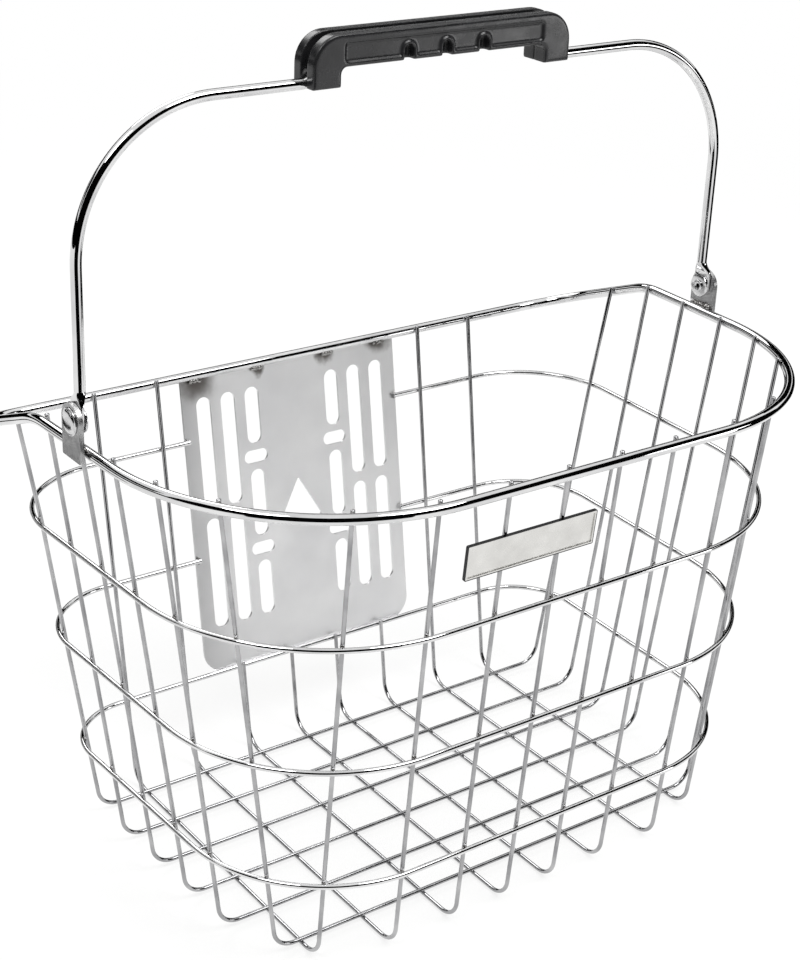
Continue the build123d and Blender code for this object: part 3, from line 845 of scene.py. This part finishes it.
def paddleSections():
    # (height, centre x, half thickness, half width, power of the outline) down the flattened end
    thick, wide, square = bail["paddleHalfThick"], bail["paddleR"], paddle["squarePower"]
    sections = []
    for k in range(paddle["taperSteps"] + 1):
        share = k / paddle["taperSteps"]
        ease = share * share * (3 - 2 * share)
        sections.append((
            bail["taperTop"] + (bail["flatTop"] - bail["taperTop"]) * share,
            bail["legX"] + (bail["paddleX"] - bail["legX"]) * ease,
            bail["wireR"] + (thick - bail["wireR"]) * ease,
            bail["wireR"] + (wide - bail["wireR"]) * ease,
            paddle["roundPower"] + (square - paddle["roundPower"]) * ease,
        ))
    for k in range(1, paddle["flatSteps"] + 1):
        height = bail["flatTop"] * (1 - k / paddle["flatSteps"])
        sections.append((height, bail["paddleX"], thick, wide, square))
    for k in range(1, paddle["endCount"] + 1):
        angle = math.radians(min(k * paddle["endStep"], paddle["endLast"]))
        sections.append((-wide * math.sin(angle), bail["paddleX"], thick, wide * math.cos(angle), square))
    return sections


def makePaddle(side):
    work = bmesh.new()
    loops = []
    sides = paddle["sides"]
    for height, x, thick, wide, power in paddleSections():
        loop = []
        for k in range(sides):
            angle = 2 * math.pi * k / sides
            c, s = math.cos(angle), math.sin(angle)
            px = side * (x + math.copysign(abs(c) ** (2 / power), c) * thick)
            py = bail["pivotY"] + math.copysign(abs(s) ** (2 / power), s) * wide
            loop.append(work.verts.new(place((px, py, bail["pivotZ"] + height))))
        loops.append(loop)
    for above, below in zip(loops, loops[1:]):
        for k in range(sides):
            n = (k + 1) % sides
            work.faces.new((above[k], above[n], below[n], below[k]))
    work.faces.new(loops[0])
    work.faces.new(loops[-1][::-1])
    bmesh.ops.recalc_face_normals(work, faces=work.faces)
    mesh = bpy.data.meshes.new("paddle")
    work.to_mesh(mesh)
    work.free()
    return addObject("paddle", mesh)


rivet = {
    "turns": 48, "joinWithin": 1e-7, "sharpDegrees": 40.0,
    "shankR": 2.0, "flangeR": 6.1, "flangeThick": 0.8, "flangeEdgeR": 0.45,
    "domeR": 5.2, "domeRise": 1.95, "domeStep": (0.12, 0.25), "crownR": 0.02,
    "eyeletR": 2.85, "eyeletRise": 0.95, "boreR": 1.2, "boreDepth": 3.6,
    "washerR": 5.7, "washerThick": 1.0, "washerGap": 0.02,
    # (distance in from a face, distance in from the edge) round the washer's two edges
    "washerInner": ((0.0, 0.35), (0.12, 0.1), (0.4, 0.0)),
    "washerOuter": ((0.3, 0.0), (0.08, 0.12), (0.0, 0.35)),
}


def revolve(name, profile, material):
    # a closed profile of (distance from the middle, radius), turned about the pivot axis on both sides
    work = bmesh.new()
    turns = rivet["turns"]
    for side in (-1, 1):
        loops = []
        for k in range(turns):
            angle = 2 * math.pi * k / turns
            y, z = math.cos(angle), math.sin(angle)
            spots = [(side * x, bail["pivotY"] + y * r, bail["pivotZ"] + z * r) for x, r in profile]
            loops.append([work.verts.new(place(spot)) for spot in spots])
        for k in range(turns):
            first, second = loops[k], loops[(k + 1) % turns]
            for i in range(len(profile)):
                j = (i + 1) % len(profile)
                work.faces.new((first[i], second[i], second[j], first[j]))
    bmesh.ops.remove_doubles(work, verts=work.verts, dist=rivet["joinWithin"])
    bmesh.ops.recalc_face_normals(work, faces=work.faces)
    mesh = bpy.data.meshes.new(name)
    work.to_mesh(mesh)
    work.free()
    mesh.materials.append(material)
    piece = addObject(name, mesh)
    smooth(piece, rivet["sharpDegrees"])
    return piece


def bulge(x, radius, reach, rise, degrees):
    # part of an oval in the profile: reach along the axis, rise away from it
    angles = [math.radians(d) for d in degrees]
    return [(x + reach * math.sin(a), radius + rise * math.cos(a)) for a in angles]


def makePivots():
    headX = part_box("bracket_right")[1].x / mm
    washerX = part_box("pivot_washers")[1].x / mm - rivet["washerThick"]
    flangeX = headX + rivet["flangeThick"]
    edgeR, lip = rivet["flangeEdgeR"], rivet["eyeletRise"] / 2
    stepIn, stepOut = rivet["domeStep"]
    body = [(headX, rivet["shankR"])]
    flangeMiddle = headX + rivet["flangeThick"] / 2
    body += bulge(flangeMiddle, rivet["flangeR"] - edgeR, edgeR, edgeR, range(-90, 91, 20))
    body.append((flangeX - stepIn, rivet["domeR"] + stepOut))
    body += bulge(flangeX, 0.0, rivet["domeRise"] - rivet["flangeThick"], rivet["domeR"], range(0, 90, 12))
    body += [(headX + rivet["domeRise"], rivet["crownR"]), (washerX + rivet["boreDepth"], rivet["boreR"])]
    body.append((washerX - lip, rivet["boreR"]))
    middleR, halfR = (rivet["eyeletR"] + rivet["boreR"]) / 2, (rivet["eyeletR"] - rivet["boreR"]) / 2
    body += bulge(washerX - lip, middleR, lip, halfR, range(-90, 91, 18))
    body.append((washerX, rivet["shankR"]))
    pair = revolve("pivot_rivet_pair", body, looks["rivet_steel"])
    finishPiece(pair, "basket", "rivet_steel", "pivot_rivets")
    farX, edge, hole = washerX + rivet["washerThick"], rivet["washerR"], rivet["shankR"] + rivet["washerGap"]
    washer = [(washerX, hole)]
    washer += [(washerX + x, edge - r) for x, r in rivet["washerInner"]]
    washer += [(farX - x, edge - r) for x, r in rivet["washerOuter"]]
    washer.append((farX, hole))
    pair = revolve("pivot_washer_pair", washer, looks["rivet_steel"])
    finishPiece(pair, "basket", "rivet_steel", "pivot_washers")
    print("pivots made")


def cutHole(piece, cutter):
    modifier = piece.modifiers.new("hole", "BOOLEAN")
    modifier.operation = "DIFFERENCE"
    modifier.solver = "EXACT"
    modifier.object = cutter
    ready = piece.evaluated_get(bpy.context.evaluated_depsgraph_get())
    return bpy.data.meshes.new_from_object(ready)


def makeBail():
    rod = makeWire("bail_rod", bailPath(), bail["wireR"], bail["wireSides"], looks["polished_wire"])
    work = bmesh.new()
    work.from_mesh(rod.data)
    for side in (-1, 1):
        flattened = makePaddle(side)
        drill = bmesh.new()
        middle = place((side * bail["paddleX"], bail["pivotY"], bail["pivotZ"]))
        turn = Matrix.Translation(middle) @ Matrix.Rotation(math.pi / 2, 4, "Y")
        holeR = bail["holeR"] * mm
        bmesh.ops.create_cone(drill, cap_ends=True, segments=bail["drillSides"], radius1=holeR,
                              radius2=holeR, depth=bail["drillDepth"] * mm, matrix=turn)
        drillMesh = bpy.data.meshes.new("drill")
        drill.to_mesh(drillMesh)
        drill.free()
        cutter = addObject("drill", drillMesh)
        work.from_mesh(cutHole(flattened, cutter))
        bpy.data.objects.remove(flattened)
        bpy.data.objects.remove(cutter)
    work.to_mesh(rod.data)
    work.free()
    for polygon in rod.data.polygons:
        polygon.material_index = 0
    smooth(rod, bail["sharpDegrees"])
    finishPiece(rod, "bail", "polished_wire", "bail_wire")
    print("bail made")


# the remesh's cell in millimetres, and how far the edges are eased
gripEdges = {"cell": 0.4, "rounds": 9, "softness": 0.5, "joinWithin": 1e-6}


def makeGrips():
    # the moulded halves, every edge eased to the small radius a mould leaves, which catches the light
    for node, name in (("grip_front_half", "grip_front_shell"), ("grip_rear_half", "grip_rear_shell")):
        work = bmesh.new()
        work.from_mesh(nodes[node].data)
        bmesh.ops.remove_doubles(work, verts=work.verts, dist=gripEdges["joinWithin"])
        mesh = bpy.data.meshes.new(name)
        work.to_mesh(mesh)
        work.free()
        source = addObject(name + "_source", mesh)
        even = source.modifiers.new("evenCells", "REMESH")
        even.mode = "VOXEL"
        even.voxel_size = gripEdges["cell"] * mm
        ease = source.modifiers.new("easedEdges", "SMOOTH")
        ease.factor = gripEdges["softness"]
        ease.iterations = gripEdges["rounds"]
        ready = source.evaluated_get(bpy.context.evaluated_depsgraph_get())
        plain = bpy.data.meshes.new_from_object(ready)
        plain.name = name
        bpy.data.objects.remove(source)
        plain.materials.clear()
        plain.materials.append(looks["grip_plastic"])
        piece = addObject(name, plain)
        plain.shade_smooth()
        print(name, len(plain.polygons), "faces")
        finishPiece(piece, "bail", "grip_plastic", node)
    print("grip made")


def dressFrame():
    # nodes whose shape is already right only take their finish
    for node, look in (
        ("mount_plate", "brushed_plate"), ("nameplate", "brushed_nameplate"),
        ("bracket_left", "bracket_steel"), ("bracket_right", "bracket_steel"),
    ):
        piece = nodes[node]
        piece.data.materials.clear()
        piece.data.materials.append(looks[look])
    print("frame nodes dressed")


bpy.context.scene.view_settings.view_transform = "Standard"
makeCamera()
makeWorld()
makeLamps()
makeFloor()
makeFlags()
print("studio made")
looks = {
    "polished_wire": polishedWire(), "grid_wire": satinWire(), "brushed_plate": brushedPlate(),
    "brushed_nameplate": badgeSheet(), "bracket_steel": stampedSteel(), "rivet_steel": turnedSteel(),
    "weld_bead": weldMetal(), "grip_plastic": mouldedPlastic(),
}
drawnWire = wireTree()
weldBeads = beadTree()
makeGrid()
makeGridWelds()
makeSeams()
makePivots()
makeBail()
makeGrips()
dressFrame()
